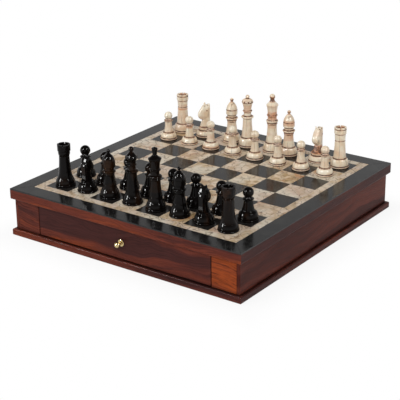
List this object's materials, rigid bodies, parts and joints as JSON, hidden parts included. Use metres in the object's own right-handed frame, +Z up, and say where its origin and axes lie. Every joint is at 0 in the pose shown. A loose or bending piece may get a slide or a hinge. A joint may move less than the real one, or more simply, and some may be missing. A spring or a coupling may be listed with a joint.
{
  "type": "chess box with drawers",
  "caption": "Square wooden chess box with an inlaid board on top, a drawer with a brass knob at each end, and both sides of turned chess pieces set out on the board.",
  "frame": {"origin": "middle of the underside of the base board", "axes": "+Z up, +X to the right and +Y away from a person who faces the front drawer, so that drawer opens towards -Y"},
  "size_m": [0.392, 0.4074, 0.1603],
  "materials": {
    "rosewood": "satin",
    "drawer_wood": "matte",
    "dark_stone": "gloss",
    "light_stone": "gloss",
    "black_piece": "gloss",
    "white_piece": "satin",
    "brass": "polished",
    "screw": "satin",
    "baize": "matte"
  },
  "bodies": {
    "box": {"base_board": "rosewood", "left_side": "rosewood", "right_side": "rosewood", "front_stiles": "rosewood", "back_stiles": "rosewood", "divider": "drawer_wood", "drawer_guides": "drawer_wood", "top_board": "rosewood", "dark_band": "dark_stone", "light_band": "light_stone", "dark_squares": "dark_stone", "light_squares": "light_stone"},
    "front_drawer": {"front_drawer_front": "rosewood", "front_drawer_left_side": "drawer_wood", "front_drawer_right_side": "drawer_wood", "front_drawer_back": "drawer_wood", "front_drawer_bottom": "drawer_wood", "front_drawer_lining": "baize", "front_drawer_knob": "brass", "front_drawer_knob_screw": "screw"},
    "back_drawer": {"back_drawer_front": "rosewood", "back_drawer_left_side": "drawer_wood", "back_drawer_right_side": "drawer_wood", "back_drawer_back": "drawer_wood", "back_drawer_bottom": "drawer_wood", "back_drawer_lining": "baize", "back_drawer_knob": "brass", "back_drawer_knob_screw": "screw"},
    "black_rook_left": {"black_rook_left": "black_piece"},
    "black_knight_left": {"black_knight_left": "black_piece"},
    "black_bishop_left": {"black_bishop_left": "black_piece"},
    "black_queen": {"black_queen": "black_piece"},
    "black_king": {"black_king": "black_piece"},
    "black_bishop_right": {"black_bishop_right": "black_piece"},
    "black_knight_right": {"black_knight_right": "black_piece"},
    "black_rook_right": {"black_rook_right": "black_piece"},
    "white_rook_left": {"white_rook_left": "white_piece"},
    "white_knight_left": {"white_knight_left": "white_piece"},
    "white_bishop_left": {"white_bishop_left": "white_piece"},
    "white_queen": {"white_queen": "white_piece"},
    "white_king": {"white_king": "white_piece"},
    "white_bishop_right": {"white_bishop_right": "white_piece"},
    "white_knight_right": {"white_knight_right": "white_piece"},
    "white_rook_right": {"white_rook_right": "white_piece"},
    "black_pawn_1": {"black_pawn_1": "black_piece"},
    "black_pawn_2": {"black_pawn_2": "black_piece"},
    "black_pawn_3": {"black_pawn_3": "black_piece"},
    "black_pawn_4": {"black_pawn_4": "black_piece"},
    "black_pawn_5": {"black_pawn_5": "black_piece"},
    "black_pawn_6": {"black_pawn_6": "black_piece"},
    "black_pawn_7": {"black_pawn_7": "black_piece"},
    "black_pawn_8": {"black_pawn_8": "black_piece"},
    "white_pawn_1": {"white_pawn_1": "white_piece"},
    "white_pawn_2": {"white_pawn_2": "white_piece"},
    "white_pawn_3": {"white_pawn_3": "white_piece"},
    "white_pawn_4": {"white_pawn_4": "white_piece"},
    "white_pawn_5": {"white_pawn_5": "white_piece"},
    "white_pawn_6": {"white_pawn_6": "white_piece"},
    "white_pawn_7": {"white_pawn_7": "white_piece"},
    "white_pawn_8": {"white_pawn_8": "white_piece"}
  },
  "joints": [
    {"name": "front_drawer_slide", "type": "slide", "parent": "box", "child": "front_drawer", "axis": [0, -1, 0], "range_m": [0, 0.13]},
    {"name": "back_drawer_slide", "type": "slide", "parent": "box", "child": "back_drawer", "axis": [0, 1, 0], "range_m": [0, 0.13]},
    {"name": "black_rook_left_lift", "type": "slide", "parent": "box", "child": "black_rook_left", "axis": [0, 0, 1], "range_m": [0, 0.1]},
    {"name": "black_knight_left_lift", "type": "slide", "parent": "box", "child": "black_knight_left", "axis": [0, 0, 1], "range_m": [0, 0.1]},
    {"name": "black_bishop_left_lift", "type": "slide", "parent": "box", "child": "black_bishop_left", "axis": [0, 0, 1], "range_m": [0, 0.1]},
    {"name": "black_queen_lift", "type": "slide", "parent": "box", "child": "black_queen", "axis": [0, 0, 1], "range_m": [0, 0.1]},
    {"name": "black_king_lift", "type": "slide", "parent": "box", "child": "black_king", "axis": [0, 0, 1], "range_m": [0, 0.1]},
    {"name": "black_bishop_right_lift", "type": "slide", "parent": "box", "child": "black_bishop_right", "axis": [0, 0, 1], "range_m": [0, 0.1]},
    {"name": "black_knight_right_lift", "type": "slide", "parent": "box", "child": "black_knight_right", "axis": [0, 0, 1], "range_m": [0, 0.1]},
    {"name": "black_rook_right_lift", "type": "slide", "parent": "box", "child": "black_rook_right", "axis": [0, 0, 1], "range_m": [0, 0.1]},
    {"name": "white_rook_left_lift", "type": "slide", "parent": "box", "child": "white_rook_left", "axis": [0, 0, 1], "range_m": [0, 0.1]},
    {"name": "white_knight_left_lift", "type": "slide", "parent": "box", "child": "white_knight_left", "axis": [0, 0, 1], "range_m": [0, 0.1]},
    {"name": "white_bishop_left_lift", "type": "slide", "parent": "box", "child": "white_bishop_left", "axis": [0, 0, 1], "range_m": [0, 0.1]},
    {"name": "white_queen_lift", "type": "slide", "parent": "box", "child": "white_queen", "axis": [0, 0, 1], "range_m": [0, 0.1]},
    {"name": "white_king_lift", "type": "slide", "parent": "box", "child": "white_king", "axis": [0, 0, 1], "range_m": [0, 0.1]},
    {"name": "white_bishop_right_lift", "type": "slide", "parent": "box", "child": "white_bishop_right", "axis": [0, 0, 1], "range_m": [0, 0.1]},
    {"name": "white_knight_right_lift", "type": "slide", "parent": "box", "child": "white_knight_right", "axis": [0, 0, 1], "range_m": [0, 0.1]},
    {"name": "white_rook_right_lift", "type": "slide", "parent": "box", "child": "white_rook_right", "axis": [0, 0, 1], "range_m": [0, 0.1]},
    {"name": "black_pawn_1_lift", "type": "slide", "parent": "box", "child": "black_pawn_1", "axis": [0, 0, 1], "range_m": [0, 0.1]},
    {"name": "black_pawn_2_lift", "type": "slide", "parent": "box", "child": "black_pawn_2", "axis": [0, 0, 1], "range_m": [0, 0.1]},
    {"name": "black_pawn_3_lift", "type": "slide", "parent": "box", "child": "black_pawn_3", "axis": [0, 0, 1], "range_m": [0, 0.1]},
    {"name": "black_pawn_4_lift", "type": "slide", "parent": "box", "child": "black_pawn_4", "axis": [0, 0, 1], "range_m": [0, 0.1]},
    {"name": "black_pawn_5_lift", "type": "slide", "parent": "box", "child": "black_pawn_5", "axis": [0, 0, 1], "range_m": [0, 0.1]},
    {"name": "black_pawn_6_lift", "type": "slide", "parent": "box", "child": "black_pawn_6", "axis": [0, 0, 1], "range_m": [0, 0.1]},
    {"name": "black_pawn_7_lift", "type": "slide", "parent": "box", "child": "black_pawn_7", "axis": [0, 0, 1], "range_m": [0, 0.1]},
    {"name": "black_pawn_8_lift", "type": "slide", "parent": "box", "child": "black_pawn_8", "axis": [0, 0, 1], "range_m": [0, 0.1]},
    {"name": "white_pawn_1_lift", "type": "slide", "parent": "box", "child": "white_pawn_1", "axis": [0, 0, 1], "range_m": [0, 0.1]},
    {"name": "white_pawn_2_lift", "type": "slide", "parent": "box", "child": "white_pawn_2", "axis": [0, 0, 1], "range_m": [0, 0.1]},
    {"name": "white_pawn_3_lift", "type": "slide", "parent": "box", "child": "white_pawn_3", "axis": [0, 0, 1], "range_m": [0, 0.1]},
    {"name": "white_pawn_4_lift", "type": "slide", "parent": "box", "child": "white_pawn_4", "axis": [0, 0, 1], "range_m": [0, 0.1]},
    {"name": "white_pawn_5_lift", "type": "slide", "parent": "box", "child": "white_pawn_5", "axis": [0, 0, 1], "range_m": [0, 0.1]},
    {"name": "white_pawn_6_lift", "type": "slide", "parent": "box", "child": "white_pawn_6", "axis": [0, 0, 1], "range_m": [0, 0.1]},
    {"name": "white_pawn_7_lift", "type": "slide", "parent": "box", "child": "white_pawn_7", "axis": [0, 0, 1], "range_m": [0, 0.1]},
    {"name": "white_pawn_8_lift", "type": "slide", "parent": "box", "child": "white_pawn_8", "axis": [0, 0, 1], "range_m": [0, 0.1]}
  ]
}
